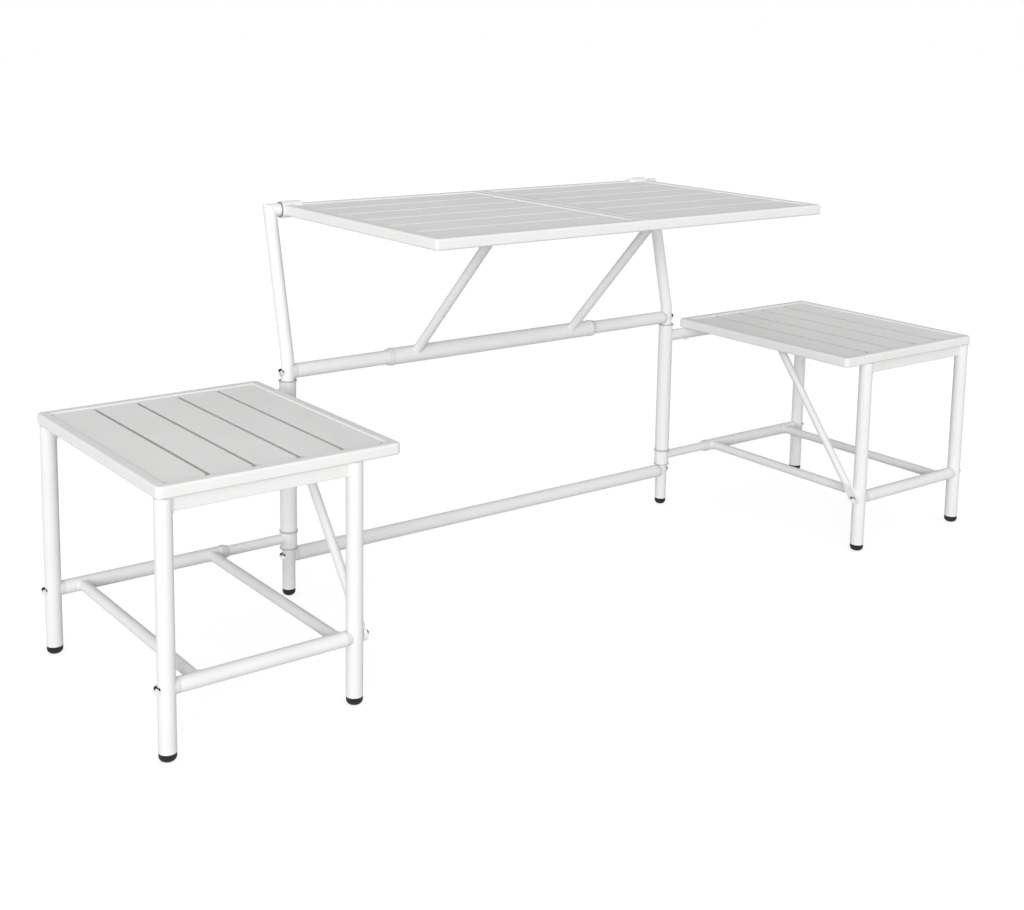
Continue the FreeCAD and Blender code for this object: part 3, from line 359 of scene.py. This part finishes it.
# Welds of the table, in painted steel: the side rails end on the hinge sleeves from the front,
# and the rear rails on the sleeves' inner ends. A side rail is flush with its sleeve's outer
# end, so its ring is narrow and drawn inwards, to stay on the sleeve.
HINGE_LINE, HINGE_HEIGHT = 0.2665, 0.742  # y and z of the table's hinge
SIDE_RAIL = 0.4549  # x of the ring round a side rail, 0.6 mm inwards from the rail's middle
SHORT_OF_HINGE, SHORT_OF_SLEEVE_END = 0.22, 0.4  # y on a side rail, x on a rear rail
ROUND_SIDE_RAIL = (0.02, 0.0208)  # as wide as the rail, and 0.4 mm above and below it
ROUND_REAR_RAIL = (0.0208, 0.0208)  # 0.4 mm outside the rail all round
table_rings = [
    bead(
        "table_hinge_sleeves",
        (side * SIDE_RAIL, SHORT_OF_HINGE, HINGE_HEIGHT),
        TO_BACK,
        ROUND_SIDE_RAIL,
    )
    for side in (-1, 1)
] + [
    bead(
        "table_hinge_sleeves",
        (side * SHORT_OF_SLEEVE_END, HINGE_LINE, HINGE_HEIGHT),
        (side, 0, 0),
        ROUND_REAR_RAIL,
    )
    for side in (-1, 1)
]
welded("table_welds", "table", table_rings)

# Floor: a studio floor painted matt white, that runs into the background. The camera and all
# reflections see it bright, with a faint shadow of the bench. The light that it throws back up
# is dimmer, so that the undersides keep their shade.
bpy.ops.object.select_all(action="DESELECT")
bpy.ops.mesh.primitive_plane_add(size=60, location=(0, 0, 0))
floor = bpy.context.object
floor.name = "studio_floor"
material, tree = blank_material("white_floor")
path = node(tree, "ShaderNodeLightPath")
bounce = node(tree, "ShaderNodeBsdfDiffuse", Color=(0.36, 0.36, 0.36, 1))
matte = node(tree, "ShaderNodeBsdfDiffuse", Color=(0.35, 0.35, 0.35, 1))
glow = node(tree, "ShaderNodeEmission", Color=(1, 1, 1, 1), Strength=0.78)
both = node(tree, "ShaderNodeAddShader", {0: matte.outputs[0], 1: glow.outputs[0]})
direct = node(
    tree,
    "ShaderNodeMath",
    {0: path.outputs["Is Camera Ray"], 1: path.outputs["Is Glossy Ray"]},
    operation="MAXIMUM",
)
seen = node(
    tree,
    "ShaderNodeMixShader",
    {"Fac": direct.outputs[0], 1: bounce.outputs[0], 2: both.outputs[0]},
)
node(tree, "ShaderNodeOutputMaterial", {"Surface": seen.outputs[0]})
floor.data.materials.append(material)

# Studio light: a tent of white cloth, a little brighter in front, with a broad lamp and a lit
# wall at the front left. Reflections show a room instead, bright in front and dark behind, which
# gives polished bolts their dark edges. The background is plain white.
IN_FRONT = (-0.66, -0.75, 0.05)  # direction that the light comes from
TENT_GLOW = (-0.2, 0.3, 0.65, 0.78)  # start and end of the change, and strength at each
ROOM_GLOW = (0.45, 0.7, 0.02, 1.0)
world = bpy.data.worlds.new("white_tent")
scene.world = world
world.use_nodes = True
tree = world.node_tree
tree.nodes.clear()
path = node(tree, "ShaderNodeLightPath")
way = node(tree, "ShaderNodeTexCoord").outputs["Generated"]
front = node(tree, "ShaderNodeVectorMath", {0: way}, operation="DOT_PRODUCT")
front.inputs[1].default_value = IN_FRONT
tent, room = [
    node(
        tree,
        "ShaderNodeMapRange",
        {"Value": front.outputs["Value"]},
        interpolation_type="SMOOTHSTEP",
        From_Min=start,
        From_Max=end,
        To_Min=dim,
        To_Max=bright,
    ).outputs["Result"]
    for start, end, dim, bright in (TENT_GLOW, ROOM_GLOW)
]
soft, mirrored, white = [
    node(tree, "ShaderNodeBackground", links, Color=(1, 1, 1, 1)).outputs[0]
    for links in ({"Strength": tent}, {"Strength": room}, {})
]
lit = node(
    tree, "ShaderNodeMixShader", {"Fac": path.outputs["Is Glossy Ray"], 1: soft, 2: mirrored}
)
seen = node(
    tree,
    "ShaderNodeMixShader",
    {"Fac": path.outputs["Is Camera Ray"], 1: lit.outputs[0], 2: white},
)
node(tree, "ShaderNodeOutputWorld", {"Surface": seen.outputs[0]})
bpy.ops.object.light_add(type="AREA", location=(-2.7, -2.9, 1.3))
lamp = bpy.context.object
lamp.name = "front_lamp"
lamp.data.size = 2.5
lamp.data.energy = 34
lamp.visible_glossy = False
to_table = Vector((2.5, 2.7, -0.9))
lamp.rotation_euler = to_table.to_track_quat("-Z", "Y").to_euler()
bpy.ops.object.light_add(type="SUN", location=(-3, -3, 1))
wall = bpy.context.object
wall.name = "lit_wall"
wall.data.energy = 1.85
wall.data.angle = math.radians(30)
wall.visible_glossy = False
from_wall = Vector((0.66, 0.75, -0.07))
wall.rotation_euler = from_wall.to_track_quat("-Z", "Y").to_euler()

# Camera: a still camera at the photograph's place and angle, worked out from measured corners
# and feet of the bench. Its frame is shifted down, so that the legs stay nearly parallel.
PAN, TILT, ROLL = -37.35, 8.818, 0.991  # degrees to the left, downwards, anticlockwise
bpy.ops.object.camera_add(location=(-1.8026, -2.2151, 1.1033))
camera = bpy.context.object
camera.data.sensor_width = 36
camera.data.lens = 51.84
camera.data.shift_y = -0.2
camera.data.clip_end = 100
turn = (
    Matrix.Rotation(math.radians(PAN), 4, "Z")
    @ Matrix.Rotation(math.radians(90 - TILT), 4, "X")
    @ Matrix.Rotation(math.radians(ROLL), 4, "Z")
)
camera.rotation_euler = turn.to_euler()
scene.camera = camera
scene.view_settings.view_transform = "Standard"
